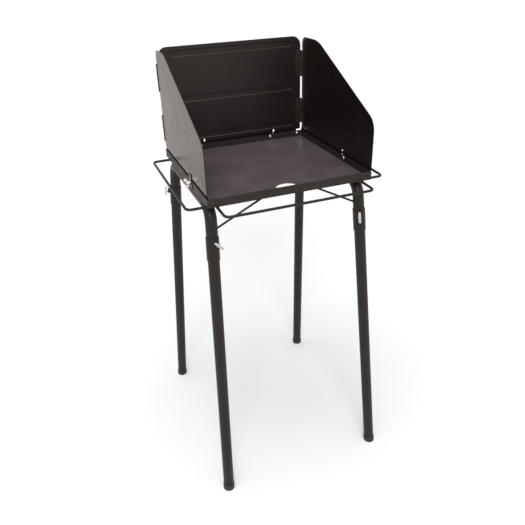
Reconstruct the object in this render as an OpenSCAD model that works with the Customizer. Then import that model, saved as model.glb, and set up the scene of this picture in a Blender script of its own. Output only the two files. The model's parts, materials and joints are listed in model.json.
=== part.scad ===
// Camp cook table: a sunken tray on four splayed, socketed legs, with rod rails
// and a three-sided folding windscreen that drops in between tongues on the rim.
// Millimetres. Origin on the floor under the middle of the table, X right, Y back, Z up.

/* [Tray] */
// Outer width of the rim
tray_w = 450; // [400:1:520]
// Outer depth of the rim
tray_d = 435; // [390:1:500]
// Height of the rim's top above the floor
table_h = 923; // [800:1:1000]
// Leg width of the rim's angle bar
angle_w = 22; // [20:0.5:28]
// Thickness of the rim's angle bar
angle_t = 3.2; // [2.6:0.1:4]
// Thickness of the tray's floor sheet
floor_t = 1.5; // [1:0.1:2.5]
// Play between the floor sheet's edge and the rim
floor_play = 0.2; // [0.1:0.05:0.5]
// Radius of the half-moon hole in the floor
moon_r = 32; // [20:1:45]
// How far the half-moon reaches behind the front angle bar
moon_reach = 41; // [30:1:60]
// Diameter of the holes near the rim's corners
rim_hole_d = 6; // [4:0.5:8]
// Distance of the front holes from the rim's ends
rim_hole_inset = 13; // [10:0.5:30]
// Depth of the front holes below the rim's top
rim_hole_drop = 9.5; // [6:0.5:12]
// Distance of the back holes from the rim's ends
back_hole_inset = 17.5; // [10:0.5:30]
// Depth of the back holes below the rim's top
back_hole_drop = 6.5; // [6:0.5:12]

/* [Rails] */
// Diameter of the rail rod
rail_d = 7; // [5:0.5:9]
// Bend radius of the rail rod
rail_bend_r = 14; // [10:1:25]
// Reach of the side rails beyond the rim
side_rail_reach = 47; // [35:1:70]
// Distance of the side rails' arms from the rim's front and back
side_rail_inset = 24.5; // [22:0.5:60]
// Shift of the side rails towards the front
side_rail_shift = 5; // [0:1:10]
// Reach of the front rail beyond the rim
front_rail_reach = 59.5; // [40:0.5:75]
// Distance of the front rail's arms from the rim's sides
front_rail_inset = 26; // [20:0.5:60]
// Length of rail arm welded under the rim
rail_lap = 18; // [10:1:20]

/* [Legs] */
// Outer diameter of the leg tube
tube_d = 31; // [28:0.2:32]
// Wall of the leg tube
tube_wall = 1.5; // [1.2:0.1:2]
// Bend radius of the leg frames
frame_bend_r = 45; // [38:1:55]
// Distance of the frames' tube from the rim's sides
frame_inset_x = 17; // [16.5:0.5:24]
// Distance of the frames' corners from the rim's front and back
frame_inset_y = 33.5; // [28:0.5:45]
// Shift of the leg frames towards the back
frame_shift = 6; // [0:0.5:10]
// Outward splay of the legs to the sides, degrees
splay_side = 2.5; // [0:0.1:5]
// Outward splay of the legs to the front and back, degrees, such that bend and stub meet without a seam
splay_front = 6.7434; // [0:0.0001:9]
// Length of the stubs from the frames' corners
stub_len = 138; // [125:1:150]
// Length of stub inside the socket
socket_lap = 61; // [45:1:62]
// Radial play of the stub in the socket
socket_play = 0.35; // [0.3:0.05:0.6]
// Length of the swaged cone under the socket
swage_len = 4; // [3:0.5:14]
// Gap between a stub's end and the seat in its socket
seat_play = 0.3; // [0.3:0.1:1]
// Diameter of the small holes in the legs
leg_hole_d = 6; // [4:0.5:8]
// Distance of the lower leg holes from the floor along the leg
leg_hole_up = 503; // [400:1:560]
// Spacing of the leg holes
leg_hole_pitch = 102; // [60:1:120]
// Wall of the foot caps
cap_wall = 1.4; // [1:0.1:3]
// Height of tube inside a foot cap
cap_grip = 12; // [8:1:25]
// Thickness of a foot cap's base at the leg's axis
cap_base = 5; // [4:0.5:8]

/* [Thumb screws] */
// Diameter of the thumb screws' shank
thumb_d = 8; // [6:0.5:10]
// Play of the shank in its boss, on the radius
thumb_play = 0.05; // [0.02:0.01:0.09]
// Diameter of the bosses
boss_d = 15; // [13:0.5:18]
// Height of the bosses
boss_h = 6; // [4:0.5:9]
// Length of the thumb screws' flat head
thumb_len = 36; // [24:1:40]
// Width of the flat head
thumb_w = 9.5; // [8:0.5:12]
// Thickness of the flat head
thumb_t = 6; // [4:0.5:8]
// Distance of the thumb screws below the sockets' upper ends
thumb_drop = 17; // [12:0.5:40]
// Turns of the thumb screws about the front left, front right, back left and back right leg, degrees to the left
thumb_turns = [-17, 26, 70, 22];
// Gap between a thumb screw's head and its boss
thumb_gap = 0.4; // [0.3:0.05:1]
// Gap between a thumb screw's tip and the stub
thumb_tip = 0.3; // [0.3:0.05:1]

/* [Braces] */
// Diameter of the brace rods
brace_d = 5.5; // [4:0.5:7]
// Depth of the braces' lower ends below the rim's top
brace_drop = 100; // [85:1:110]
// Distance of the braces' upper ends from the middle
brace_top_x = 66; // [45:1:110]
// Distance of the braces' upper ends from the rim's front and back
brace_inset = 19.5; // [12:0.5:20]

/* [Windscreen] */
// Height of the windscreen above the rim
screen_h = 287; // [240:1:340]
// Thickness of the screen's sheet
panel_t = 1.5; // [1:0.1:2]
// Distance of the screen's faces inside the rim's outer faces
panel_inset = 0.3; // [0.3:0.05:0.5]
// Gap between the screen and the rim's top at rest
screen_seat = 0.3; // [0.3:0.05:1]
// Height of the panels' stepped lower edge
step_h = 6; // [5:0.5:9]
// Height of the slope above the stepped edge
step_rise = 4; // [2:0.5:6]
// Distance of the back panel's side edges from the rim's sides
back_edge = 6; // [5:0.5:10]
// Radius of the back panel's top corners
back_corner_r = 27; // [10:1:45]
// Width of the notches in the back panel's lower corners
corner_notch_w = 14; // [8:0.5:16]
// Height of those notches
corner_notch_h = 5; // [3:0.5:7]
// Depth below the screen's top of the side panels' highest edge
side_top_drop = 2; // [0:0.5:10]
// Length of the side panels' level top edge
side_flat = 100; // [70:1:160]
// Height at which the slope would meet the front edge
side_front_h = 131; // [100:1:170]
// Radius of the side panels' rear top corner
side_rear_r = 22; // [8:1:40]
// Radius where the level edge turns into the slope
side_slope_r = 120; // [40:5:200]
// Radius of the front top corner
side_front_r = 44; // [20:1:60]
// Distance of the side panels' front edge behind the rim's front
side_front_inset = 0.5; // [0:0.5:10]
// Heights of the three pressed beads' middles
bead_z = [27, 139.5, 267];
// Height of the beads
bead_h = 19; // [12:1:24]
// Depth of the beads
bead_depth = 1.75; // [1:0.25:5]
// Distance of the beads' ends from the rim's sides
bead_inset = 36; // [30:1:70]

/* [Hinges] */
// Height of a hinge
hinge_h = 76; // [50:1:80]
// Heights of the hinges' lower ends above the rim
hinge_z = [27, 170];
// Thickness of the leaves
leaf_t = 1.2; // [0.8:0.1:1.4]
// Width of the leaves
leaf_w = 15; // [10:0.5:20]
// Radius of the knuckles
knuckle_r = 2.8; // [2.5:0.1:3.2]
// Radius of the hinge pins
pin_r = 1.5; // [1.2:0.1:1.7]
// Play of the pins in the knuckles, on the radius
pin_play = 0.05; // [0.02:0.01:0.09]
// Gap between pieces that turn past each other
turn_gap = 0.5; // [0.4:0.05:0.8]
// Distance of the hinge axes in front of the back panel
hinge_front = 4.2; // [4.2:0.1:5.5]
// Thickness of the right back leaves where they reach behind the barrels
cover_t = 0.8; // [0.5:0.05:0.9]
// Reach of the right panel's rear edge behind its hinge axis
right_rear_reach = 2.5; // [0:0.1:3]

/* [Screen fixings] */
// Distance of the back tongues from the middle
tongue_x = 114.6; // [80:0.5:150]
// Distance of the side tongues in front of the middle
tongue_y = 71; // [40:0.5:110]
// Width of the tongues
tongue_w = 20; // [16:0.5:24]
// Thickness of the tongues
tongue_t = 2; // [1.5:0.1:3]
// Height of the tongues above the rim
tongue_up = 16.5; // [16:0.1:17]
// Depth of the tongues below the rim's top
tongue_down = 20; // [16:0.5:21]
// Height of the notches round the tongues
notch_h = 14.5; // [10:0.5:15]
// Width of the open slit beside each tongue
slit_w = 4; // [2:0.5:6]
// Height of the slits' lower ends above the rim
slit_z = 7; // [6:0.5:9]
// Diameter of the screen bolts
bolt_d = 6; // [5:0.5:7]
// Depth of the bolts below the rim's top
bolt_drop = 7; // [6.8:0.1:9]
// Diameter of the bolts' round heads
bolt_head_d = 11; // [9:0.5:12]
// Height of the bolts' heads
bolt_head_h = 3.4; // [2.5:0.1:4]
// Play of the bolts in their holes, on the radius
bolt_play = 0.3; // [0.1:0.05:0.6]
// Diameter of the washers
washer_d = 12.5; // [11:0.5:13]
// Thickness of the washers
washer_t = 1.2; // [0.8:0.1:2]
// Play of the wing nuts on the bolts, on the radius
nut_play = 0.05; // [0.02:0.01:0.09]
// Gap between the wing nuts and their washers
nut_gap = 0.3; // [0.3:0.05:1]
// Diameter of the wing nuts' hub
nut_d = 10.5; // [9.5:0.5:13]
// Height of the wing nuts' hub
nut_h = 7; // [5:0.5:10]
// Span of the wing nuts
wing_span = 28; // [24:1:34]
// Height of the wing nuts' wings
wing_h = 14; // [11:0.5:18]
// Thickness of the wings
wing_t = 2.6; // [2:0.1:4]

/* [Hidden] */
$fn = 48;
rim_z = table_h - angle_w;
floor_top = rim_z + angle_t + floor_t;
half_w = tray_w/2;
half_d = tray_d/2;

rail_z = rim_z - rail_d/2;

frame_x = half_w - frame_inset_x;
frame_y = half_d - frame_inset_y;
frame_z = rim_z - tube_d/2;
frame_turn = 90 - splay_front;
frame_tangent = frame_bend_r*tan(frame_turn/2);
frame_run = round(100*(frame_y - frame_tangent))/100;
stub_straight = round(100*(stub_len - frame_tangent))/100;
leg_len = frame_z/(cos(splay_side)*cos(splay_front));
tube_bore = tube_d - 2*tube_wall;
socket_bore = tube_d + 2*socket_play;
socket_d = socket_bore + 2*tube_wall;
socket_top = stub_len - socket_lap;
socket_seat = stub_len + seat_play;
tube_end = leg_len - cap_base;
thumb_at = socket_top + thumb_drop;

panel_out_x = half_w - panel_inset;
panel_in_x = panel_out_x - panel_t;
panel_out_y = half_d - panel_inset;
panel_in_y = panel_out_y - panel_t;
step_in = angle_t - panel_inset - panel_t;
hinge_y = panel_in_y - hinge_front;
knuckle_gap = 0.4;
knuckle_h = (hinge_h - 2*knuckle_gap)/3;
knuckle_clear = knuckle_r + turn_gap;
left_hinge_x = -(panel_in_x + panel_t/2);
right_hinge_x = panel_in_x - panel_t/2 - max(step_in, leaf_t) - turn_gap;
side_rear_y = hinge_y - knuckle_clear;
right_rear_y = hinge_y + right_rear_reach;
side_front_y = -half_d + side_front_inset;
side_top = screen_h - side_top_drop;
screen_bottom = table_h + screen_seat;
skirt_h = step_h + step_rise;

tongue_hole_d = bolt_d + 2*bolt_play;
washer_out = tongue_t + washer_t;
nut_base = washer_out + nut_gap;
bolt_out = nut_base + nut_h + 3;

black = [0.09, 0.09, 0.095];
floor_black = [0.16, 0.15, 0.16];
zinc = [0.78, 0.78, 0.76];
plastic = [0.04, 0.04, 0.04];

// Sub-part to draw

function unit(v) = v/norm(v);

// Points of the arc that rounds the corner p between the neighbours a and b
function fillet(a, p, b, r, n = 10) =
    let(u = unit(a - p), v = unit(b - p), h = acos(u*v)/2)
    let(c = p + unit(u + v)*r/sin(h))
    let(s = p + u*r/tan(h) - c, e = p + v*r/tan(h) - c)
    let(start = atan2(s.y, s.x), sweep = atan2(cross(s, e), s*e))
    [for (i = [0:n]) c + r*[cos(start + sweep*i/n), sin(start + sweep*i/n)]];

// A round rod from p to q
module rod(p, q, d) {
    v = q - p;
    translate(p)
        rotate([0, acos(v.z/norm(v)), atan2(v.y, v.x)])
            cylinder(d = d, h = norm(v));
}

// The four fixings in turn: right side, left side, back right, back left.
// Children are drawn with the rim's outer face at X = 0, outside towards +X, and Z = 0 at the rim's top.
module at_fixing(i) {
    spots = [[half_w, -tongue_y, 0], [-half_w, -tongue_y, 180],
        [tongue_x, half_d, 90], [-tongue_x, half_d, 90]];
    translate([spots[i].x, spots[i].y, table_h])
        rotate([0, 0, spots[i].z])
            children();
}

// A round hole or pin along X from x0 to x1
module x_pin(x0, x1, d) {
    translate([x0, 0, 0])
        rotate([0, 90, 0])
            cylinder(d = d, h = x1 - x0);
}

module rim_ring() {
    difference() {
        translate([-half_w, -half_d, rim_z])
            cube([tray_w, tray_d, angle_w]);
        translate([-half_w + angle_t, -half_d + angle_t, rim_z + angle_t])
            cube([tray_w - 2*angle_t, tray_d - 2*angle_t, angle_w]);
        translate([-half_w + angle_w, -half_d + angle_w, rim_z - 1])
            cube([tray_w - 2*angle_w, tray_d - 2*angle_w, angle_w]);
        for (i = [0:3])
            at_fixing(i)
                translate([0, 0, -bolt_drop])
                    x_pin(-angle_t - 1, 1, tongue_hole_d);
        for (x = [-1, 1]) {
            translate([x*(half_w - rim_hole_inset), angle_t*1.5 - half_d, table_h - rim_hole_drop])
                rotate([90, 0, 0])
                    cylinder(d = rim_hole_d, h = 2*angle_t);
            translate([x*(half_w - back_hole_inset), half_d + angle_t/2, table_h - back_hole_drop])
                rotate([90, 0, 0])
                    cylinder(d = rim_hole_d, h = 2*angle_t);
        }
    }
}

// One mitred side of the rim, of half length a, at distance b from the middle, turned by deg
module rim_side(a, b, deg) {
    intersection() {
        rim_ring();
        rotate([0, 0, deg])
            translate([0, 0, rim_z - 1])
                linear_extrude(angle_w + 2)
                    polygon([[-a, -b], [a, -b], [a - angle_w, angle_w - b], [angle_w - a, angle_w - b]]);
    }
}

module rim_front() color(black) rim_side(half_w, half_d, 0);
module rim_back() color(black) rim_side(half_w, half_d, 180);
module rim_left() color(black) rim_side(half_d, half_w, -90);
module rim_right() color(black) rim_side(half_d, half_w, 90);

module tray_floor() color(floor_black) {
    w = tray_w - 2*(angle_t + floor_play);
    d = tray_d - 2*(angle_t + floor_play);
    lip = angle_w - half_d;
    translate([0, 0, rim_z + angle_t])
        linear_extrude(floor_t)
            difference() {
                square([w, d], center = true);
                intersection() {
                    translate([0, lip + moon_reach - moon_r])
                        circle(moon_r);
                    translate([-moon_r, lip])
                        square([2*moon_r, moon_reach + 1]);
                }
            }
}

// Cross-section of the leg tube
module tube_ring() {
    difference() {
        circle(d = tube_d);
        circle(d = tube_bore);
    }
}

// Inverted-U leg frame: a level run, two bends and two splayed stubs
module leg_frame(sx) {
    translate([sx*frame_x, frame_shift, frame_z])
        rotate([0, -sx*splay_side, 0]) {
            translate([0, -frame_run, 0])
                rotate([-90, 0, 0])
                    linear_extrude(2*frame_run)
                        tube_ring();
            for (m = [0, 1])
                mirror([0, m, 0])
                    translate([0, frame_run, -frame_bend_r])
                        rotate([0, -90, 0]) {
                            rotate_extrude(angle = frame_turn)
                                translate([frame_bend_r, 0])
                                    tube_ring();
                            rotate([0, 0, frame_turn])
                                translate([frame_bend_r, 0, 0])
                                    rotate([-90, 0, 0])
                                        linear_extrude(stub_straight)
                                            tube_ring();
                        }
        }
}

module left_leg_frame() color(black) leg_frame(-1);
module right_leg_frame() color(black) leg_frame(1);

// A U of rod in the XY plane: arms from X = -rail_lap, bar at X = reach
module rail(len, reach) {
    for (m = [0, 1])
        mirror([0, m, 0]) {
            translate([0, len/2, 0])
                x_pin(-rail_lap, reach - rail_bend_r, rail_d);
            translate([reach - rail_bend_r, len/2 - rail_bend_r, 0])
                rotate_extrude(angle = 90)
                    translate([rail_bend_r, 0])
                        circle(d = rail_d);
        }
    translate([reach, rail_bend_r - len/2, 0])
        rotate([-90, 0, 0])
            cylinder(d = rail_d, h = len - 2*rail_bend_r);
}

module right_rail() color(black)
    translate([half_w, -side_rail_shift, rail_z])
        rail(tray_d - 2*side_rail_inset, side_rail_reach);
module left_rail() color(black)
    mirror([1, 0, 0]) right_rail();
module front_rail() color(black)
    translate([0, -half_d, rail_z])
        rotate([0, 0, -90])
            rail(tray_w - 2*front_rail_inset, front_rail_reach);

// Frame of a leg: origin at the leg frame's corner, the leg along -Z, outside of the table along +Y
module at_leg(sx, sy) {
    translate([sx*frame_x, sy*frame_y + frame_shift, frame_z])
        rotate([0, -sx*splay_side, 0])
            rotate([sy*splay_front, 0, 0])
                mirror([0, (1 - sy)/2, 0])
                    children();
}

module brace(sx, sy) {
    low = table_h - brace_drop;
    drop = frame_z - low;
    foot = [sx*(frame_x + drop*tan(splay_side)), sy*(frame_y + drop*tan(splay_front)) + frame_shift, low];
    top = [sx*brace_top_x, sy*(half_d - brace_inset), rim_z];
    past = unit(top - foot)*2*brace_d;
    difference() {
        rod(foot, top + past, brace_d);
        translate([-half_w, -half_d, rim_z])
            cube([tray_w, tray_d, angle_w]);
        at_leg(sx, sy)
            translate([0, 0, -stub_len])
                cylinder(d = tube_d, h = stub_len);
        at_leg(sx, sy)
            translate([sx > 0 ? 0 : -tube_d, -tube_d, -stub_len])
                cube([tube_d, 2*tube_d, stub_len]);
    }
}

module front_left_brace() color(black) brace(-1, -1);
module front_right_brace() color(black) brace(1, -1);
module back_left_brace() color(black) brace(-1, 1);
module back_right_brace() color(black) brace(1, 1);

module screen_tongues() color(black)
    for (i = [0:3])
        at_fixing(i)
            difference() {
                translate([0, -tongue_w/2, -tongue_down])
                    cube([tongue_t, tongue_w, tongue_up + tongue_down]);
                translate([0, 0, -bolt_drop])
                    x_pin(-1, tongue_t + 1, tongue_hole_d);
            }

module screen_bolts() color(zinc)
    for (i = [0:3])
        at_fixing(i)
            translate([-angle_t, 0, -bolt_drop]) {
                x_pin(-bolt_head_h/2, angle_t + bolt_out, bolt_d);
                rotate([0, -90, 0]) {
                    cylinder(d = bolt_head_d, h = bolt_head_h/2);
                    translate([0, 0, bolt_head_h/2])
                        cylinder(d1 = bolt_head_d, d2 = bolt_head_d*0.6, h = bolt_head_h/2);
                }
            }

module bolt_washers() color(zinc)
    for (i = [0:3])
        at_fixing(i)
            translate([0, 0, -bolt_drop])
                difference() {
                    x_pin(tongue_t, washer_out, washer_d);
                    x_pin(tongue_t - 1, washer_out + 1, tongue_hole_d);
                }

// A wing nut, its wings turned by deg about the bolt
module wing_nut(i, deg) {
    at_fixing(i)
        translate([nut_base, 0, -bolt_drop])
            rotate([deg, 0, 0])
                rotate([0, 90, 0])
                    difference() {
                        union() {
                            cylinder(d1 = nut_d, d2 = nut_d*0.86, h = nut_h);
                            for (m = [0, 1])
                                mirror([m, 0, 0])
                                    translate([0, wing_t/2, 0])
                                        rotate([90, 0, 0])
                                            linear_extrude(wing_t)
                                                wing();
                        }
                        translate([0, 0, -1])
                            cylinder(r = bolt_d/2 + nut_play, h = wing_h + 2);
                    }
}

// Outline of one wing: a web that widens into a round lobe
module wing() {
    lobe = wing_span/2 - nut_d/2 + 1;
    translate([wing_span/2 - lobe/2, wing_h - lobe/2])
        circle(d = lobe);
    polygon([[nut_d/2 - 1.2, nut_h*0.15], [nut_d/2 + 1.5, nut_h*0.3], [wing_span/2, wing_h - lobe/2],
        [wing_span/2 - lobe, wing_h - lobe/2], [nut_d/2 - 1.4, nut_h*0.9]]);
}

module right_wing_nut() color(zinc) wing_nut(0, 70);
module left_wing_nut() color(zinc) wing_nut(1, 35);
module back_right_wing_nut() color(zinc) wing_nut(2, 20);
module back_left_wing_nut() color(zinc) wing_nut(3, -35);

// Notch in a panel behind a tongue, with an open slit beside it on the side of the sign s
module tongue_notch(i, s) {
    cover = 2*turn_gap;
    at_fixing(i) {
        translate([-2*angle_t, turn_gap - tongue_w/2, 0])
            cube([2*angle_t, tongue_w - 2*turn_gap, notch_h]);
        translate([-2*angle_t, s > 0 ? tongue_w/2 - cover : -tongue_w/2 - slit_w, slit_z])
            cube([2*angle_t, slit_w + cover, notch_h - slit_z]);
    }
}

// Stepped lower edge of a panel, along -Y from the origin, the panel's inner face at X = 0, outside towards +X
module step_edge(len) {
    rotate([90, 0, 0])
        linear_extrude(len)
            polygon([[-step_in, screen_seat], [panel_t - step_in, screen_seat], [panel_t - step_in, step_h],
                [panel_t, skirt_h], [0, skirt_h], [-step_in, step_h]]);
}

// A pressed bead with sloping sides and round ends, standing out towards +Y from the plane Y = 0
module bead(len, h, depth) {
    flat = h - 2*depth;
    rotate([90, 0, 90])
        translate([0, 0, -len/2])
            linear_extrude(len)
                polygon([[0, -h/2], [depth, -flat/2], [depth, flat/2], [0, h/2]]);
    for (s = [-1, 1])
        translate([s*len/2, 0, 0])
            rotate([-90, 0, 0])
                cylinder(d1 = h, d2 = flat, h = depth);
}

module back_panel() color(black) {
    edge = half_w - back_edge;
    top = screen_h - screen_seat;
    skirt = skirt_h - screen_seat;
    inner = edge - corner_notch_w;
    bead_len = tray_w - 2*bead_inset - bead_h;
    outline = concat([[-edge, corner_notch_h], [-inner, corner_notch_h], [-inner, skirt],
        [inner, skirt], [inner, corner_notch_h], [edge, corner_notch_h]],
        fillet([edge, 0], [edge, top], [-edge, top], back_corner_r),
        fillet([edge, top], [-edge, top], [-edge, 0], back_corner_r));
    difference() {
        union() {
            translate([0, panel_out_y, screen_bottom])
                rotate([90, 0, 0])
                    linear_extrude(panel_t)
                        polygon(outline);
            translate([-inner, panel_in_y, table_h])
                rotate([0, 0, 90])
                    step_edge(2*inner);
            for (z = bead_z)
                translate([0, panel_out_y, table_h + z])
                    bead(bead_len, bead_h, bead_depth);
        }
        for (z = bead_z)
            translate([0, panel_in_y, table_h + z])
                bead(bead_len, bead_h - 2*panel_t*0.41, bead_depth);
        tongue_notch(2, -1);
        tongue_notch(3, -1);
    }
}

// Side panel on the right with its rear edge at Y = rear, seen in the plane of Y and Z
module side_panel(rear) {
    front = side_front_y;
    bend = [side_rear_y - side_flat, side_top];
    nose = [front, side_front_h];
    outline = concat([[front, skirt_h], [rear, skirt_h]],
        fillet([rear, 0], [rear, side_top], bend, side_rear_r),
        fillet([rear, side_top], bend, nose, side_slope_r),
        fillet(bend, nose, [front, 0], side_front_r));
    translate([panel_in_x, 0, table_h])
        rotate([90, 0, 90])
            linear_extrude(panel_t)
                polygon(outline);
    translate([panel_in_x, rear, table_h])
        step_edge(rear - front);
}

module right_panel() color(black)
    difference() {
        side_panel(right_rear_y);
        tongue_notch(0, 1);
        for (z = hinge_z)
            translate([panel_in_x - 1, side_rear_y, table_h + z - turn_gap])
                cube([panel_t + 2, knuckle_clear + right_rear_reach + 1, hinge_h + 2*turn_gap]);
    }
module left_panel() color(black)
    difference() {
        mirror([1, 0, 0]) side_panel(side_rear_y);
        tongue_notch(1, 1);
    }

// A third of a hinge's barrel: the outer two belong to the back leaf, the middle one to the side leaf
module knuckle(x, z) {
    translate([x, hinge_y, z])
        cylinder(r = knuckle_r, h = knuckle_h);
}

module pin_bore(x, z) {
    translate([x, hinge_y, z - 1])
        cylinder(r = pin_r + pin_play, h = hinge_h + 2);
}

// Leaf on the back panel for the hinge axis at x; the table's middle lies on the side of the sign s
module back_leaf(x, s, z) {
    from = abs(x) - knuckle_clear;
    web = knuckle_r*0.7;
    plate_x = s > 0 ? -from : from - leaf_w;
    difference() {
        union() {
            translate([plate_x, panel_in_y - leaf_t, z])
                cube([leaf_w, leaf_t, hinge_h]);
            for (k = [0, 2]) {
                kz = z + k*(knuckle_h + knuckle_gap);
                knuckle(x, kz);
                translate([s > 0 ? x : x - web, hinge_y + knuckle_r*0.5, kz])
                    cube([web, hinge_front - knuckle_r*0.5, knuckle_h]);
                translate([s > 0 ? x : from - leaf_t, panel_in_y - leaf_t, kz])
                    cube([knuckle_clear + leaf_t, leaf_t, knuckle_h]);
            }
            if (s < 0)
                translate([from - leaf_t, panel_in_y - cover_t, z])
                    cube([panel_in_x - from, cover_t, hinge_h]);
        }
        pin_bore(x, z);
    }
}

// Leaf on a side panel whose inner face is at face_x
module side_leaf(x, face_x, s, z) {
    plate_x = s > 0 ? face_x : face_x - leaf_t;
    kz = z + knuckle_h + knuckle_gap;
    difference() {
        union() {
            translate([plate_x, hinge_y - knuckle_clear - leaf_w, z])
                cube([leaf_t, leaf_w, hinge_h]);
            translate([plate_x, side_rear_y - leaf_t, kz])
                cube([leaf_t, knuckle_clear + leaf_t, knuckle_h]);
            knuckle(x, kz);
        }
        pin_bore(x, z);
    }
}

module hinge_pin(x, z) {
    translate([x, hinge_y, z])
        cylinder(r = pin_r, h = hinge_h);
}

module left_back_leaves() color(black)
    for (z = hinge_z)
        back_leaf(left_hinge_x, 1, table_h + z);
module left_side_leaves() color(black)
    for (z = hinge_z)
        side_leaf(left_hinge_x, -panel_in_x, 1, table_h + z);
module left_hinge_pins() color(black)
    for (z = hinge_z)
        hinge_pin(left_hinge_x, table_h + z);
module right_back_leaves() color(black)
    for (z = hinge_z)
        back_leaf(right_hinge_x, -1, table_h + z);
module right_side_leaves() color(black)
    for (z = hinge_z)
        side_leaf(right_hinge_x, panel_in_x, -1, table_h + z);
module right_hinge_pins() color(black)
    for (z = hinge_z)
        hinge_pin(right_hinge_x, table_h + z);

// Frame of a thumb screw: its axis along +X, starting at the leg's axis
module at_thumb(sx, sy) {
    turn = thumb_turns[(sx + 1)/2 + sy + 1];
    at_leg(sx, sy)
        translate([0, 0, -thumb_at])
            rotate([0, 0, 90 + turn])
                children();
}

module leg(sx, sy) {
    difference() {
        at_leg(sx, sy)
            difference() {
                rotate_extrude()
                    polygon([[0, -socket_top], [socket_d/2, -socket_top], [socket_d/2, -socket_seat],
                        [tube_d/2, -socket_seat - swage_len], [tube_d/2, -tube_end], [0, -tube_end]]);
                translate([0, 0, -socket_seat])
                    cylinder(d = socket_bore, h = socket_lap + seat_play + 1);
                translate([0, 0, -tube_end - 1])
                    cylinder(d = tube_bore, h = tube_end);
                for (k = [0, 1])
                    translate([0, 0, -leg_len + leg_hole_up + k*leg_hole_pitch])
                        rotate([90, 0, 0])
                            cylinder(d = leg_hole_d, h = tube_d);
            }
        at_thumb(sx, sy)
            x_pin(0, socket_d, thumb_d + 2*socket_play);
    }
}

module front_left_leg() color(black) leg(-1, -1);
module front_right_leg() color(black) leg(1, -1);
module back_left_leg() color(black) leg(-1, 1);
module back_right_leg() color(black) leg(1, 1);

module boss(sx, sy) {
    difference() {
        at_thumb(sx, sy)
            x_pin(0, socket_d/2 + boss_h, boss_d);
        at_leg(sx, sy)
            translate([0, 0, -socket_seat])
                cylinder(d = socket_d, h = socket_lap);
        at_thumb(sx, sy)
            x_pin(0, socket_d/2 + boss_h + 1, thumb_d + 2*thumb_play);
    }
}

module front_left_boss() color(black) boss(-1, -1);
module front_right_boss() color(black) boss(1, -1);
module back_left_boss() color(black) boss(-1, 1);
module back_right_boss() color(black) boss(1, 1);

// A thumb screw, its flat head turned by deg
module thumb_screw(sx, sy, deg) {
    face = socket_d/2 + boss_h + thumb_gap;
    at_thumb(sx, sy)
        rotate([deg, 0, 0]) {
            x_pin(tube_d/2 + thumb_tip, face + 1, thumb_d);
            x_pin(face, face + 4, thumb_w + 1.5);
            translate([face + 3, 0, 0])
                rotate([0, 90, 0])
                    linear_extrude(thumb_t) {
                        square([thumb_len - thumb_w, thumb_w], center = true);
                        for (s = [-1, 1])
                            translate([s*(thumb_len - thumb_w)/2, 0])
                                circle(d = thumb_w);
                    }
        }
}

module front_left_thumb_screw() color(zinc) thumb_screw(-1, -1, -45);
module front_right_thumb_screw() color(zinc) thumb_screw(1, -1, 0);
module back_left_thumb_screw() color(zinc) thumb_screw(-1, 1, 20);
module back_right_thumb_screw() color(zinc) thumb_screw(1, 1, -20);

// Foot cap, cut level with the floor
module foot(sx, sy) {
    r = tube_d/2 + cap_wall;
    difference() {
        at_leg(sx, sy)
            difference() {
                translate([0, 0, -leg_len - 4])
                    cylinder(r = r, h = cap_grip + cap_base + 4);
                translate([0, 0, -tube_end])
                    cylinder(d = tube_d, h = cap_grip + 1);
            }
        translate([sx*frame_x - 2*half_w, sy*frame_y - 2*half_d, -50])
            cube([4*half_w, 4*half_d, 50]);
    }
}

module front_left_foot() color(plastic) foot(-1, -1);
module front_right_foot() color(plastic) foot(1, -1);
module back_left_foot() color(plastic) foot(-1, 1);
module back_right_foot() color(plastic) foot(1, 1);

rim_front();
rim_back();
rim_left();
rim_right();
tray_floor();
left_leg_frame();
right_leg_frame();
left_rail();
right_rail();
front_rail();
front_left_brace();
front_right_brace();
back_left_brace();
back_right_brace();
screen_tongues();
screen_bolts();
bolt_washers();
left_wing_nut();
right_wing_nut();
back_left_wing_nut();
back_right_wing_nut();
back_panel();
left_panel();
right_panel();
left_back_leaves();
left_side_leaves();
left_hinge_pins();
right_back_leaves();
right_side_leaves();
right_hinge_pins();
front_left_leg();
front_right_leg();
back_left_leg();
back_right_leg();
front_left_boss();
front_right_boss();
back_left_boss();
back_right_boss();
front_left_thumb_screw();
front_right_thumb_screw();
back_left_thumb_screw();
back_right_thumb_screw();
front_left_foot();
front_right_foot();
back_left_foot();
back_right_foot();
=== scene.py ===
"""Camp cook table: finishes, small hardware, welds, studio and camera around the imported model."""
import json
from math import ceil, cos, pi, radians, sin, sqrt

import bmesh
import bpy
from mathutils import Matrix, Vector


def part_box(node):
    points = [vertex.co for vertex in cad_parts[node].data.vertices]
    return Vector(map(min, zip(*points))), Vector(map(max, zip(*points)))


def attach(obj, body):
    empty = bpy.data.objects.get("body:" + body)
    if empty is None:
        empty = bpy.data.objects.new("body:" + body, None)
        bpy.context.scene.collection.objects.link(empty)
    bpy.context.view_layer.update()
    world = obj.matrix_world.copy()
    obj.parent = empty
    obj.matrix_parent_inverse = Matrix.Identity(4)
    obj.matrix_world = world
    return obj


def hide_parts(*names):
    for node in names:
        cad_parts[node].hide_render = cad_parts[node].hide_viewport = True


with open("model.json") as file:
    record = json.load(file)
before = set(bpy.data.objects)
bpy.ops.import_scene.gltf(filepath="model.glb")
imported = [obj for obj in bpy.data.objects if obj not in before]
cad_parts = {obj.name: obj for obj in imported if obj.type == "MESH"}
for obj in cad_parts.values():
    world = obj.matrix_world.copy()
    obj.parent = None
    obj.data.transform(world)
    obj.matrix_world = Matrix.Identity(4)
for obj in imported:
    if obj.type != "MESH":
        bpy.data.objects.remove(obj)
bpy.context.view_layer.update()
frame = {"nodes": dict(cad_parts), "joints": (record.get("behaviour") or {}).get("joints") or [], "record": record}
nodes = frame["nodes"]
joints = {joint["name"]: joint for joint in frame["joints"]}
scene = bpy.context.scene


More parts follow.
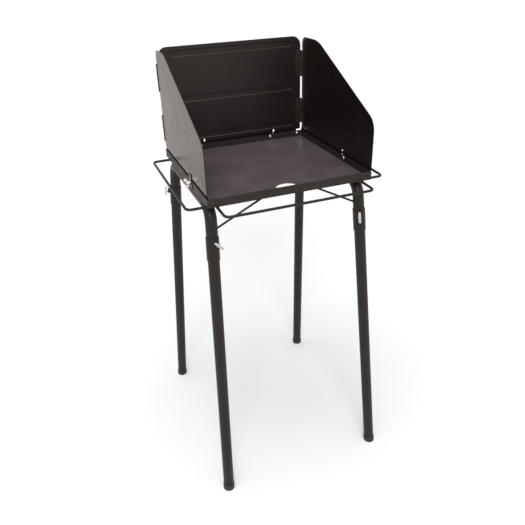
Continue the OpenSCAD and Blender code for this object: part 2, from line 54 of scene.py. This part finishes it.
# Camera: place in metres, direction, and lens in millimetres, as the photograph was taken
CAMERA_AT = Vector((-0.5377, -1.4096, 1.4402))
AZIMUTH = radians(20.63)
LOOK_DOWN = radians(29.41)
ROLL = radians(-1.82)
LENS = 38.16
SENSOR = 36.0
FAR_CLIP = 200.0


def make_camera():
    forward = Vector((sin(AZIMUTH)*cos(LOOK_DOWN), cos(AZIMUTH)*cos(LOOK_DOWN), -sin(LOOK_DOWN)))
    right = Vector((cos(AZIMUTH), -sin(AZIMUTH), 0.0))
    up = right.cross(forward)
    axes = (right*cos(ROLL) + up*sin(ROLL), up*cos(ROLL) - right*sin(ROLL), -forward)
    data = bpy.data.cameras.new("camera")
    data.lens = LENS
    data.sensor_width = SENSOR
    data.sensor_fit = "HORIZONTAL"
    data.clip_end = FAR_CLIP
    camera = bpy.data.objects.new("camera", data)
    camera.matrix_world = Matrix.Translation(CAMERA_AT) @ Matrix(axes).transposed().to_4x4()
    scene.collection.objects.link(camera)
    scene.camera = camera


make_camera()


# Sizes of the table that the finishes and the added pieces follow, metres
RIM_LOW, RIM_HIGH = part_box("rim_front")
HALF_W = RIM_HIGH.x
HALF_D = -RIM_LOW.y
RIM_Z = RIM_LOW.z
RIM_TOP = RIM_HIGH.z
ANGLE_T = 0.0032
# Leg frames: radii of the tube and of the socket on it, inset of the tube's axis, shift to the back
TUBE_R = 0.0155
SOCKET_R = 0.01735
FRAME_INSET_X = 0.017
FRAME_INSET_Y = 0.0335
FRAME_X = HALF_W - FRAME_INSET_X
FRAME_Y = HALF_D - FRAME_INSET_Y
FRAME_SHIFT = 0.006
# Left is -1 and right 1 in side, front is -1 and back 1 in end
SIGNS = (-1, 1)
CORNERS = [(side, end) for end in SIGNS for side in SIGNS]


def leg_name(side, end):
    return ("front_" if end < 0 else "back_") + ("left" if side < 0 else "right")


def leg_line(side, end):
    """A point of the leg's axis, at the corner of its frame, and the direction down the leg."""
    corner = Vector((side*FRAME_X, end*FRAME_Y + FRAME_SHIFT, RIM_Z - TUBE_R))
    return corner, Vector(joints[leg_name(side, end) + "_leg_slide"]["axis"]).normalized()


# Materials
EDGE_SAMPLES = 4


class Shader:
    """A Principled material with a few helpers for its nodes."""

    def __init__(self, name, **values):
        self.mat = bpy.data.materials.new(name)
        self.mat.use_nodes = True
        self.tree = self.mat.node_tree
        self.bsdf = self.tree.nodes["Principled BSDF"]
        for socket, value in values.items():
            self.bsdf.inputs[socket.replace("_", " ")].default_value = value
        self.coords = self.node("TexCoord").outputs["Object"]

    def node(self, kind, **inputs):
        made = self.tree.nodes.new("ShaderNode" + kind)
        for socket, value in inputs.items():
            self.feed(made.inputs[socket.replace("_", " ")], value)
        return made

    def feed(self, socket, value):
        if isinstance(value, bpy.types.NodeSocket):
            self.tree.links.new(value, socket)
        else:
            socket.default_value = value

    def noise(self, scale, detail=2.0, roughness=0.5, coords=None):
        """Noise from 0 to 1 with about scale waves in a metre."""
        made = self.node("TexNoise", Vector=coords or self.coords, Scale=scale, Detail=detail,
                         Roughness=roughness)
        return made.outputs["Fac"]

    def vectors(self, operation, a, b):
        made = self.node("VectorMath")
        made.operation = operation
        self.feed(made.inputs[0], a)
        self.feed(made.inputs[1], b)
        return made

    def stretched(self, x, y, z):
        """Object coordinates scaled along the axes, for streaks."""
        return self.vectors("MULTIPLY", self.coords, (x, y, z)).outputs["Vector"]

    def span(self, value, low, high, start=0.0, end=1.0):
        """value mapped from start..end to low..high, clamped."""
        made = self.node("MapRange", Value=value)
        for key, number in (("From Min", start), ("From Max", end), ("To Min", low), ("To Max", high)):
            made.inputs[key].default_value = number
        return made.outputs["Result"]

    def blend(self, factor, a, b):
        """Colour a where factor is 0, colour b where it is 1."""
        made = self.node("Mix")
        made.data_type = "RGBA"
        for socket in made.inputs:
            if socket.type == "RGBA" and socket.name in "AB":
                self.feed(socket, a if socket.name == "A" else b)
        self.feed(made.inputs[0], factor)
        return next(socket for socket in made.outputs if socket.type == "RGBA")

    def maths(self, operation, a, b):
        made = self.node("Math")
        made.operation = operation
        self.feed(made.inputs[0], a)
        self.feed(made.inputs[1], b)
        return made.outputs[0]

    def edges(self, radius, start, end):
        """1 on convex and concave edges within about the radius, 0 elsewhere."""
        rounded = self.node("Bevel", Radius=radius)
        rounded.samples = EDGE_SAMPLES
        plain = self.node("NewGeometry").outputs["Normal"]
        alike = self.vectors("DOT_PRODUCT", rounded.outputs["Normal"], plain)
        return self.span(alike.outputs["Value"], 1.0, 0.0, start, end)

    def bump(self, height, distance, strength):
        made = self.node("Bump", Height=height, Distance=distance, Strength=strength)
        self.feed(self.bsdf.inputs["Normal"], made.outputs["Normal"])

    def colour(self, value):
        self.feed(self.bsdf.inputs["Base Color"], value)

    def rough(self, value):
        self.feed(self.bsdf.inputs["Roughness"], value)


def rgb(r, g, b):
    return (r, g, b, 1.0)


# Parts of a noise's range that are spread over a whole effect: start, end
COAT_MIDDLE = (0.35, 0.65)
SPECK_MIDDLE = (0.42, 0.62)
CLOUD_MIDDLE = (0.3, 0.7)
SCUFF_PEAKS = (0.58, 0.72)


def powder_coat(name, dark, light, worn, gloss, peel, **shading):
    """Powder coat: fine orange peel, slow drifts of tone and gloss, thinner on the edges."""
    made = Shader(name, **shading)
    drift = made.noise(scale=9.0, detail=3.0)
    cloud = made.noise(scale=55.0, detail=3.0)
    tone = made.blend(made.span(drift, 0.0, 1.0, *COAT_MIDDLE), dark, light)
    specks = made.span(made.noise(scale=420.0, detail=3.0, roughness=0.7), 0.25, 1.0, *SPECK_MIDDLE)
    wear = made.maths("MULTIPLY", made.edges(radius=0.0009, start=0.72, end=0.97), specks)
    made.colour(made.blend(wear, tone, worn))
    mixed = made.maths("ADD", made.maths("MULTIPLY", drift, 0.5), made.maths("MULTIPLY", cloud, 0.5))
    made.rough(made.span(mixed, *gloss, *COAT_MIDDLE))
    made.bump(made.noise(scale=900.0, roughness=0.6), distance=peel, strength=0.5)
    return made.mat


def plated(name):
    """Bright zinc plate: soft cloudy spangle and fine marks, brightest along the edges."""
    made = Shader(name, Metallic=1.0)
    cloud = made.noise(scale=300.0, detail=3.0)
    plain = made.blend(cloud, rgb(0.47, 0.47, 0.455), rgb(0.62, 0.62, 0.61))
    made.colour(made.blend(made.edges(radius=0.0008, start=0.6, end=0.95), plain, rgb(0.80, 0.80, 0.79)))
    made.rough(made.span(cloud, 0.20, 0.34, *CLOUD_MIDDLE))
    made.bump(made.noise(scale=2500.0, detail=1.0), distance=0.00002, strength=0.4)
    return made.mat


def moulded(name):
    """Matt black plastic of the foot caps, with level scuffs."""
    made = Shader(name, IOR=1.48)
    cloud = made.noise(scale=120.0)
    tone = made.blend(cloud, rgb(0.010, 0.010, 0.011), rgb(0.020, 0.020, 0.021))
    streaks = made.noise(scale=60.0, detail=4.0, roughness=0.7, coords=made.stretched(1.0, 1.0, 5.0))
    scuffs = made.maths("MULTIPLY", made.span(streaks, 0.0, 1.0, *SCUFF_PEAKS), 0.5)
    made.colour(made.blend(scuffs, tone, rgb(0.06, 0.06, 0.062)))
    made.rough(made.span(cloud, 0.50, 0.64, *CLOUD_MIDDLE))
    made.bump(made.noise(scale=1400.0), distance=0.00004, strength=0.5)
    return made.mat


WARM = rgb(1.0, 0.91, 0.87)
AMBER = rgb(1.0, 0.85, 0.80)
PLUM = rgb(1.0, 0.96, 1.0)
DUST = rgb(1.0, 0.76, 0.62)
SHEET_WORN = rgb(0.040, 0.036, 0.034)
SHEET = dict(IOR=1.47, Specular_Tint=AMBER, Sheen_Weight=0.03, Sheen_Roughness=0.35, Sheen_Tint=DUST)
STEEL = dict(IOR=1.45, Specular_Tint=WARM)
STEEL_PEEL = 0.00006

black_coat = powder_coat("black_coat", dark=rgb(0.0100, 0.0085, 0.0078), light=rgb(0.0150, 0.0130, 0.0118),
                         worn=SHEET_WORN, gloss=(0.25, 0.32), peel=0.000014, Metallic=0.4, **SHEET)
# The back panel: the side panels' sheet with a rougher, less metallic gloss, and a lighter base colour that is
# painted light for its brighter lit face
back_lit_coat = powder_coat("back_lit_coat", dark=rgb(0.0130, 0.0110, 0.0101), light=rgb(0.0185, 0.0160, 0.0146),
                        worn=SHEET_WORN, gloss=(0.34, 0.42), peel=0.00002, Metallic=0.3, **SHEET)
# Painted shade: a dull near-black coat for the panels' lower edge, standing in for the shade line above the rim
hem_painted_shade = powder_coat("hem_painted_shade", dark=rgb(0.0040, 0.0036, 0.0034), light=rgb(0.0070, 0.0062, 0.0058),
                       worn=rgb(0.018, 0.016, 0.015), gloss=(0.70, 0.85), peel=STEEL_PEEL,
                       Specular_IOR_Level=0.08, **STEEL)
tube_coat = powder_coat("tube_coat", dark=rgb(0.0100, 0.0080, 0.0071), light=rgb(0.0150, 0.0122, 0.0110),
                        worn=rgb(0.036, 0.030, 0.027), gloss=(0.40, 0.50), peel=STEEL_PEEL,
                        Specular_IOR_Level=0.36, **STEEL)
rod_coat = powder_coat("rod_coat", dark=rgb(0.0085, 0.0068, 0.0060), light=rgb(0.0130, 0.0105, 0.0094),
                       worn=rgb(0.030, 0.025, 0.023), gloss=(0.40, 0.52), peel=STEEL_PEEL,
                       Specular_IOR_Level=0.34, **STEEL)
rim_coat = powder_coat("rim_coat", dark=rgb(0.0300, 0.0238, 0.0211), light=rgb(0.0390, 0.0312, 0.0280),
                       worn=rgb(0.070, 0.058, 0.053), gloss=(0.46, 0.58), peel=STEEL_PEEL,
                       IOR=1.45, Specular_Tint=AMBER, Metallic=0.25, Specular_IOR_Level=0.30)
tray_coat = powder_coat("tray_coat", dark=rgb(0.078, 0.061, 0.072), light=rgb(0.098, 0.079, 0.091),
                        worn=rgb(0.13, 0.11, 0.12), gloss=(0.30, 0.40), peel=0.00003,
                        IOR=1.5, Specular_Tint=PLUM)
zinc = plated("zinc")
foot_plastic = moulded("foot_plastic")

# Finishes of the record's slots, and of the pieces in the black slot by a part of their name
FINISH = {"tray_coat": tray_coat, "zinc": zinc, "foot_plastic": foot_plastic}
BLACKS = {"rim_": rim_coat, "mitre": rim_coat, "leaves": rim_coat, "rail": rod_coat, "brace": rod_coat,
          "back_panel": back_lit_coat, "leg": tube_coat, "boss": tube_coat, "frame": tube_coat}


def match(name, table, otherwise):
    """The first value in the table whose key is a part of the name."""
    return next((value for part, value in table.items() if part in name), otherwise)


def finish_of(name, slot):
    """The slot's material; in the black slot the coat listed for the piece, or else that of the side panels."""
    if slot != "black_coat":
        return FINISH[slot]
    return match(name, BLACKS, black_coat)


# CAD nodes: finish, rounded edges and smooth normals
SHARP_ANGLE = radians(50)
BEVEL_ANGLE = radians(32)
FLAT_ANGLE = radians(0.5)
BEVEL_SEGMENTS = 2
JOIN_GAP = 1e-6
SOFTENING = 0.5


def smooth_group():
    """Node group that shades a mesh smooth apart from edges sharper than SHARP_ANGLE."""
    group = bpy.data.node_groups.new("smooth_by_angle", "GeometryNodeTree")
    group.interface.new_socket("Geometry", in_out="INPUT", socket_type="NodeSocketGeometry")
    group.interface.new_socket("Geometry", in_out="OUTPUT", socket_type="NodeSocketGeometry")
    start = group.nodes.new("NodeGroupInput")
    end = group.nodes.new("NodeGroupOutput")
    faces = group.nodes.new("GeometryNodeSetShadeSmooth")
    edges = group.nodes.new("GeometryNodeSetShadeSmooth")
    edges.domain = "EDGE"
    edges.inputs["Shade Smooth"].default_value = False
    angle = group.nodes.new("GeometryNodeInputMeshEdgeAngle")
    sharp = group.nodes.new("FunctionNodeCompare")
    sharp.inputs["B"].default_value = SHARP_ANGLE
    link = group.links.new
    link(start.outputs[0], faces.inputs["Geometry"])
    link(faces.outputs[0], edges.inputs["Geometry"])
    link(angle.outputs["Unsigned Angle"], sharp.inputs["A"])
    link(sharp.outputs["Result"], edges.inputs["Selection"])
    link(edges.outputs[0], end.inputs[0])
    return group


smooth_by_angle = smooth_group()


def smooth(obj):
    """Smooth shading that keeps the sharp edges and leaves flat faces flat."""
    obj.modifiers.new("smooth", "NODES").node_group = smooth_by_angle
    normals = obj.modifiers.new("normals", "WEIGHTED_NORMAL")
    normals.keep_sharp = True


def paint(name, material):
    """The node's own mesh with one material, its split vertices joined again."""
    obj = nodes[name]
    obj.data.materials.clear()
    obj.data.materials.append(material)
    for polygon in obj.data.polygons:
        polygon.material_index = 0
    custom = obj.data.attributes.get("custom_normal")
    if custom:
        obj.data.attributes.remove(custom)
    joined = obj.modifiers.new("weld", "WELD")
    joined.merge_threshold = JOIN_GAP
    return obj


def round_edges(obj, width):
    """Flat faces freed of their slivers, then rounded edges and smooth normals."""
    flat = obj.modifiers.new("flat", "DECIMATE")
    flat.decimate_type = "DISSOLVE"
    flat.angle_limit = FLAT_ANGLE
    flat.delimit = {"MATERIAL"}
    bevel = obj.modifiers.new("bevel", "BEVEL")
    bevel.width = width
    bevel.segments = BEVEL_SEGMENTS
    bevel.limit_method = "ANGLE"
    bevel.angle_limit = BEVEL_ANGLE
    bevel.miter_outer = "MITER_ARC"
    smooth(obj)


def cast(obj, grain, passes):
    """A soft cast form: the solid in voxels of the size grain, then smoothed."""
    voxels = obj.modifiers.new("cast", "REMESH")
    voxels.mode = "VOXEL"
    voxels.voxel_size = grain
    voxels.use_smooth_shade = True
    soft = obj.modifiers.new("soft", "SMOOTH")
    soft.factor = SOFTENING
    soft.iterations = passes


# Height above the rim's top up to which the panels' lower edge is painted as shade
HEM_H = 0.0105


def paint_hem_shade(obj):
    """The panels' stepped lower edge in a dull near-black: painted shade standing in for the line of shade above
    the rim.
    """
    top = RIM_TOP + HEM_H
    obj.data.materials.append(hem_painted_shade)
    for polygon in obj.data.polygons:
        if max(obj.data.vertices[i].co.z for i in polygon.vertices) < top:
            polygon.material_index = 1


# Widths of the rounded edges by a part of the node's name
EDGE_WIDTHS = {"rim_": 0.0007, "floor": 0.0004, "panel": 0.0005, "leaves": 0.0003, "foot": 0.0015,
               "washers": 0.0002, "tongues": 0.0005, "boss": 0.0006}
EDGE_WIDTH = 0.0004
WING_GRAIN = 0.00035
WING_PASSES = 8
slot_of = {entry["node"]: entry["material_slot"] for entry in frame["record"]["subparts"]}


def dress(name):
    """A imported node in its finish, cast soft if it is a wing nut, with rounded edges otherwise."""
    obj = paint(name, finish_of(name, slot_of[name]))
    # The panels' lower edge gets the painted shade line
    if name.endswith("panel"):
        paint_hem_shade(obj)
    if name.endswith("wing_nut"):
        cast(obj, WING_GRAIN, WING_PASSES)
    else:
        round_edges(obj, match(name, EDGE_WIDTHS, EDGE_WIDTH))


for name in nodes:
    dress(name)


# Meshes of the added pieces
def circle(along, across, count):
    """Evenly spaced unit vectors round the direction along, the first of them across."""
    third = along.cross(across)
    turns = (2*pi*k/count for k in range(count))
    return [across*cos(turn) + third*sin(turn) for turn in turns]


def bridge(bm, first, second):
    """Faces from one ring of vertices to the next."""
    for k in range(len(first)):
        after = (k + 1) % len(first)
        bm.faces.new((first[k], first[after], second[after], second[k]))


def skin(bm, rings):
    """Faces along a row of rings."""
    for first, second in zip(rings, rings[1:]):
        bridge(bm, first, second)


def cap(bm, rings):
    """A face over each end of a row of rings."""
    bm.faces.new(rings[0])
    bm.faces.new(rings[-1])


def finish_piece(name, bm, body, slot):
    """A new object from the mesh, riding on the body, with the slot's finish."""
    bmesh.ops.recalc_face_normals(bm, faces=bm.faces)
    mesh = bpy.data.meshes.new(name)
    bm.to_mesh(mesh)
    bm.free()
    for polygon in mesh.polygons:
        polygon.use_smooth = True
    mesh.materials.append(finish_of(name, slot))
    obj = bpy.data.objects.new(name, mesh)
    scene.collection.objects.link(obj)
    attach(obj, body)
    return obj


# Welds: rippled beads along the seams; BEAD_END is the share of a bead's section left at its ends
BEAD_SIDES = 10
BEAD_STEP = 0.0008
BEAD_END = 0.06
RIPPLE_STEPS = 3
RIPPLE = 0.16


def even(points, closed):
    """The path again, with points about BEAD_STEP apart."""
    ends = points[1:] + points[:1] if closed else points[1:]
    path = []
    for a, b in zip(points, ends):
        count = max(1, ceil((b - a).length/BEAD_STEP))
        path += [a.lerp(b, i/count) for i in range(count)]
    return path if closed else path + [points[-1]]


def weld(bm, points, radius, closed=False):
    """A weld bead along the points, its radius swelling in overlapping ripples, with round ends."""
    path = even(points, closed)
    last = len(path) - 1
    rings = []
    for i, point in enumerate(path):
        before = path[i - 1] if i or closed else point
        after = path[(i + 1) % len(path)] if i < last or closed else point
        along = (after - before).normalized()
        if rings:
            across = across - along*across.dot(along)
        else:
            across = along.orthogonal()
        across.normalize()
        swell = 1.0 - RIPPLE*(i % RIPPLE_STEPS)/RIPPLE_STEPS
        if not closed:
            inset = min(i, last - i)*BEAD_STEP/radius
            swell *= sqrt(max(BEAD_END, 1.0 - max(0.0, 1.0 - inset)**2))
        rings.append([bm.verts.new(point + radius*swell*off) for off in circle(along, across, BEAD_SIDES)])
    skin(bm, rings)
    if closed:
        close_ring(bm, rings[-1], rings[0])
    else:
        cap(bm, rings)


def close_ring(bm, last, first):
    """Faces from the last ring to the first, which is turned to the nearest match."""
    shift = min(range(BEAD_SIDES), key=lambda s: (last[0].co - first[s].co).length)
    bridge(bm, last, first[shift:] + first[:shift])


RAIL_R = (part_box("left_rail")[1].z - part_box("left_rail")[0].z)/2
RAIL_LAP = 0.018
RAIL_WELD_R = 0.0015
RAIL_WELD_Z = RIM_Z - 0.6*RAIL_WELD_R
RAIL_WELD_ASIDE = 0.83*RAIL_R


def rail_welds():
    """Two fillets beside each rail arm, under the rim's flange."""
    bm = bmesh.new()
    for name, side in (("left_rail", -1), ("right_rail", 1)):
        low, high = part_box(name)
        for arm in (low.y + RAIL_R, high.y - RAIL_R):
            for y in (arm - RAIL_WELD_ASIDE, arm + RAIL_WELD_ASIDE):
                ends = [Vector((side*x, y, RAIL_WELD_Z)) for x in (HALF_W - RAIL_LAP, HALF_W)]
                weld(bm, ends, RAIL_WELD_R)
    low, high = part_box("front_rail")
    for arm in (low.x + RAIL_R, high.x - RAIL_R):
        for x in (arm - RAIL_WELD_ASIDE, arm + RAIL_WELD_ASIDE):
            ends = [Vector((x, -y, RAIL_WELD_Z)) for y in (HALF_D - RAIL_LAP, HALF_D)]
            weld(bm, ends, RAIL_WELD_R)
    finish_piece("rail_welds", bm, "table", "black_coat")


BRACE_R = 0.00275
BRACE_DROP = 0.100
BRACE_TOP_X = 0.066
BRACE_INSET = 0.0195
BRACE_WELD_R = 0.0013
ROUND_POINTS = 20


def brace_welds():
    """A bead round each end of the braces: under the rim and on the leg frame's stub."""
    bm = bmesh.new()
    for side, end in CORNERS:
        corner, down = leg_line(side, end)
        foot = corner + down*((RIM_TOP - BRACE_DROP - corner.z)/down.z)
        top = Vector((side*BRACE_TOP_X, end*(HALF_D - BRACE_INSET), RIM_Z))
        along = (top - foot).normalized()
        ring = [BRACE_R*off for off in circle(along, along.orthogonal().normalized(), ROUND_POINTS)]
        weld(bm, [top + off - along*(off.z/along.z) for off in ring], BRACE_WELD_R, True)
        # Where the brace's wall meets the stub: each line of the wall leaves the stub's cylinder there
        flat = along - down*along.dot(down)
        reach = flat.length_squared
        low = []
        for off in ring:
            aside = off - down*off.dot(down)
            half = aside.dot(flat)
            far = (sqrt(half*half - reach*(aside.length_squared - TUBE_R*TUBE_R)) - half)/reach
            low.append(foot + off + along*far)
        weld(bm, low, BRACE_WELD_R, True)
    finish_piece("brace_welds", bm, "table", "black_coat")


FRAME_WELD_R = 0.0022
FRAME_WELD_X = FRAME_X + 0.42*TUBE_R
FRAME_WELD_Z = RIM_Z - 0.45*FRAME_WELD_R
FRAME_STITCH = 0.034
FRAME_STITCHES = (-0.115, -0.038, 0.038, 0.115)


def frame_welds():
    """Stitches between the leg frames' level tubes and the side rims, on the outer side."""
    bm = bmesh.new()
    half = Vector((0.0, FRAME_STITCH/2, 0.0))
    for side in SIGNS:
        for stitch in FRAME_STITCHES:
            middle = Vector((side*FRAME_WELD_X, FRAME_SHIFT + stitch, FRAME_WELD_Z))
            weld(bm, [middle - half, middle + half], FRAME_WELD_R)
    finish_piece("frame_welds", bm, "table", "black_coat")


MITRE_R = 0.0011
MITRE_SINK = 0.0009


def mitre_welds():
    """Flush ground welds on the outer corners and the top mitres of the rim."""
    bm = bmesh.new()
    for side, end in CORNERS:
        corner = Vector((side*(HALF_W - MITRE_SINK), end*(HALF_D - MITRE_SINK), 0.0))
        heel = corner + Vector((0, 0, RIM_Z + MITRE_R))
        crown = corner + Vector((0, 0, RIM_TOP - MITRE_SINK))
        inner = crown - Vector((side, end, 0))*(ANGLE_T - 2*MITRE_SINK)
        weld(bm, [heel, crown, inner], MITRE_R)
    finish_piece("mitre_welds", bm, "table", "black_coat")


BOSS_R = 0.0075
BOSS_WELD_R = 0.0012


def boss_weld(side, end):
    """The bead round a boss where it stands on its socket."""
    name = leg_name(side, end)
    corner, down = leg_line(side, end)
    screw = joints[name + "_screw_turn"]
    out = Vector(screw["axis"]).normalized()
    middle = corner + down*(Vector(screw["pos_m"]) - corner).dot(down)
    aside = out.cross(down)
    ring = []
    for k in range(2*ROUND_POINTS):
        turn = pi*k/ROUND_POINTS
        off = BOSS_R*sin(turn)
        ring.append(middle + out*sqrt(SOCKET_R*SOCKET_R - off*off) + down*(BOSS_R*cos(turn)) + aside*off)
    bm = bmesh.new()
    weld(bm, ring, BOSS_WELD_R, True)
    finish_piece(name + "_boss_weld", bm, name + "_leg_body", "black_coat")


rail_welds()
brace_welds()
frame_welds()
mitre_welds()
for side, end in CORNERS:
    boss_weld(side, end)


# Turned hardware: screen bolts with a cut thread, thumb screws with a slim bar head
TURNED_SIDES = 40
THREAD_STEPS = 6


def turned(bm, start, out, rows, pitch=1.0):
    """A solid of revolution; a row holds the distance out, the radius and the depth of thread."""
    around = circle(out, out.orthogonal().normalized(), TURNED_SIDES)
    rings = []
    for x, radius, depth in rows:
        ring = []
        for k, off in enumerate(around):
            phase = (x/pitch - k/TURNED_SIDES) % 1.0
            r = radius - depth*(1.0 - abs(2.0*phase - 1.0))
            ring.append(bm.verts.new(start + out*x + r*off))
        rings.append(ring)
    skin(bm, rings)
    cap(bm, rings)


BOLT_R = 0.003
BOLT_HEAD_R = 0.0055
BOLT_HEAD_H = 0.0034
BOLT_RIM = 0.0006
BOLT_OUT = 0.0135
BOLT_PITCH = 0.001
BOLT_CUT = 0.00042
THREAD_START = 0.5*BOLT_PITCH
DOME_STEPS = 9


def bolt_rows():
    """Domed head inside the rim, plain neck, threaded shank, chamfered end; 0 is the rim's outer face."""
    face = -ANGLE_T
    dome = BOLT_HEAD_H - BOLT_RIM
    angles = [pi/2*k/DOME_STEPS for k in range(1, DOME_STEPS + 1)]
    rows = [(face - BOLT_RIM - dome*cos(angle), BOLT_HEAD_R*sin(angle), 0) for angle in angles]
    rows += [(face, BOLT_HEAD_R, 0), (face, BOLT_R, 0), (0.0, BOLT_R, 0)]
    count = int(THREAD_STEPS*(BOLT_OUT - BOLT_PITCH)/BOLT_PITCH)
    for turns in (k/THREAD_STEPS for k in range(count)):
        rows.append((THREAD_START + turns*BOLT_PITCH, BOLT_R, BOLT_CUT*min(1.0, turns)))
    return rows + [(BOLT_OUT - BOLT_CUT, BOLT_R - BOLT_CUT, 0), (BOLT_OUT, BOLT_R - 2*BOLT_CUT, 0)]


def make_bolts():
    """A bolt through the rim at each wing nut."""
    bm = bmesh.new()
    for name, joint in joints.items():
        if name.endswith("_nut_turn"):
            out = Vector(joint["axis"]).normalized()
            spot = Vector(joint["pos_m"])
            face = HALF_W if abs(out.x) > abs(out.y) else HALF_D
            turned(bm, spot - out*(spot.dot(out) - face), out, bolt_rows(), BOLT_PITCH)
    bolts = finish_piece("cut_bolts", bm, "table", "zinc")
    smooth(bolts)
    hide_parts("screen_bolts")


BAR_LEN = 0.032
BAR_W = 0.0066
BAR_T = 0.006
BAR_END_STEPS = 10
COLLAR_R = 0.0052
COLLAR_TOP_R = 0.8*COLLAR_R
COLLAR_H = 0.004
COLLAR_SKIRT = 0.001
SCREW_R = 0.004
SCREW_CHAMFER = 0.0008
SCREW_GRAIN = 0.0004
SCREW_PASSES = 4


def bar_head(bm, start, out, along):
    """A flat bar with round ends, its length along the direction along, standing BAR_T high."""
    across = out.cross(along)
    half = BAR_W/2
    outline = []
    for end in (1, -1):
        for k in range(BAR_END_STEPS + 1):
            turn = pi*k/BAR_END_STEPS - pi/2
            outline.append(end*(along*(BAR_LEN/2 - half + half*cos(turn)) + across*(half*sin(turn))))
    rings = [[bm.verts.new(start + point + out*rise) for point in outline] for rise in (0.0, BAR_T)]
    skin(bm, rings)
    cap(bm, rings)


def thumb_screw(side, end):
    """Shank, collar and bar head fused into one cast form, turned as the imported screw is."""
    name = leg_name(side, end)
    joint = joints[name + "_screw_turn"]
    out = Vector(joint["axis"]).normalized()
    spot = Vector(joint["pos_m"])
    points = [vertex.co - spot for vertex in nodes[name + "_thumb_screw"].data.vertices]
    reach = [point.dot(out) for point in points]
    tip, crown = min(reach), max(reach)
    along = max((point - out*point.dot(out) for point in points), key=lambda off: off.length).normalized()
    neck = crown - BAR_T - COLLAR_H/2
    shank = [(tip, SCREW_R - SCREW_CHAMFER, 0), (tip + SCREW_CHAMFER, SCREW_R, 0), (neck, SCREW_R, 0)]
    collar = [(neck - COLLAR_SKIRT, COLLAR_R, 0), (neck + COLLAR_H, COLLAR_TOP_R, 0)]
    bm = bmesh.new()
    turned(bm, spot, out, shank)
    turned(bm, spot, out, collar)
    bar_head(bm, spot + out*(crown - BAR_T), out, along)
    screw = finish_piece(name + "_bar_screw", bm, name + "_screw", "zinc")
    cast(screw, SCREW_GRAIN, SCREW_PASSES)
    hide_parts(name + "_thumb_screw")


make_bolts()
for side, end in CORNERS:
    thumb_screw(side, end)


# Studio: white surroundings, pale floor, soft lamps
WHITE = rgb(1.0, 1.0, 1.0)
AMBIENT = 0.28
FLOOR_HALF = 60.0
FLOOR_PAINT = rgb(0.86, 0.86, 0.86)
FLOOR_LIFT = rgb(0.16, 0.16, 0.16)


def seen(tree):
    """Socket that is 1 for camera, glossy and transmission rays."""
    path = tree.nodes.new("ShaderNodeLightPath")
    total = path.outputs["Is Camera Ray"]
    for ray in ("Is Glossy Ray", "Is Transmission Ray"):
        largest = tree.nodes.new("ShaderNodeMath")
        largest.operation = "MAXIMUM"
        tree.links.new(total, largest.inputs[0])
        tree.links.new(path.outputs[ray], largest.inputs[1])
        total = largest.outputs[0]
    return total


def make_world():
    """Soft light all round that shows as white."""
    world = bpy.data.worlds.new("studio")
    scene.world = world
    world.use_nodes = True
    tree = world.node_tree
    tree.nodes.clear()
    light = tree.nodes.new("ShaderNodeBackground")
    light.inputs["Strength"].default_value = AMBIENT
    shown = tree.nodes.new("ShaderNodeBackground")
    for background in (light, shown):
        background.inputs["Color"].default_value = WHITE
    mix = tree.nodes.new("ShaderNodeMixShader")
    out = tree.nodes.new("ShaderNodeOutputWorld")
    tree.links.new(seen(tree), mix.inputs["Fac"])
    tree.links.new(light.outputs[0], mix.inputs[1])
    tree.links.new(shown.outputs[0], mix.inputs[2])
    tree.links.new(mix.outputs[0], out.inputs["Surface"])


def make_floor():
    """Pale floor that takes the shadow, lifted to white where nothing shades it."""
    corners = [(x*FLOOR_HALF, y*FLOOR_HALF, 0) for x, y in ((-1, -1), (1, -1), (1, 1), (-1, 1))]
    mesh = bpy.data.meshes.new("floor")
    mesh.from_pydata(corners, [], [(0, 1, 2, 3)])
    floor = bpy.data.objects.new("floor", mesh)
    scene.collection.objects.link(floor)
    mat = bpy.data.materials.new("floor")
    mat.use_nodes = True
    tree = mat.node_tree
    tree.nodes.clear()
    matt = tree.nodes.new("ShaderNodeBsdfDiffuse")
    matt.inputs["Color"].default_value = FLOOR_PAINT
    lift = tree.nodes.new("ShaderNodeEmission")
    tree.links.new(seen(tree), lift.inputs["Strength"])
    lift.inputs["Color"].default_value = FLOOR_LIFT
    both = tree.nodes.new("ShaderNodeAddShader")
    out = tree.nodes.new("ShaderNodeOutputMaterial")
    tree.links.new(matt.outputs[0], both.inputs[0])
    tree.links.new(lift.outputs[0], both.inputs[1])
    tree.links.new(both.outputs[0], out.inputs["Surface"])
    mesh.materials.append(mat)


def sun(name, azimuth, elevation, strength, spread):
    """Soft far lamp; its angles in degrees, azimuth from +Y towards +X."""
    data = bpy.data.lights.new(name, "SUN")
    data.energy = strength
    data.angle = radians(spread)
    lamp = bpy.data.objects.new(name, data)
    az, el = radians(azimuth), radians(elevation)
    towards = Vector((sin(az)*cos(el), cos(az)*cos(el), sin(el)))
    lamp.rotation_euler = towards.to_track_quat("Z", "Y").to_euler()
    scene.collection.objects.link(lamp)


make_world()
make_floor()
sun("key", azimuth=-140, elevation=79, strength=1.75, spread=50)
sun("front", azimuth=200, elevation=36, strength=1.15, spread=25)
scene.view_settings.view_transform = "Standard"

bpy.context.view_layer.update()
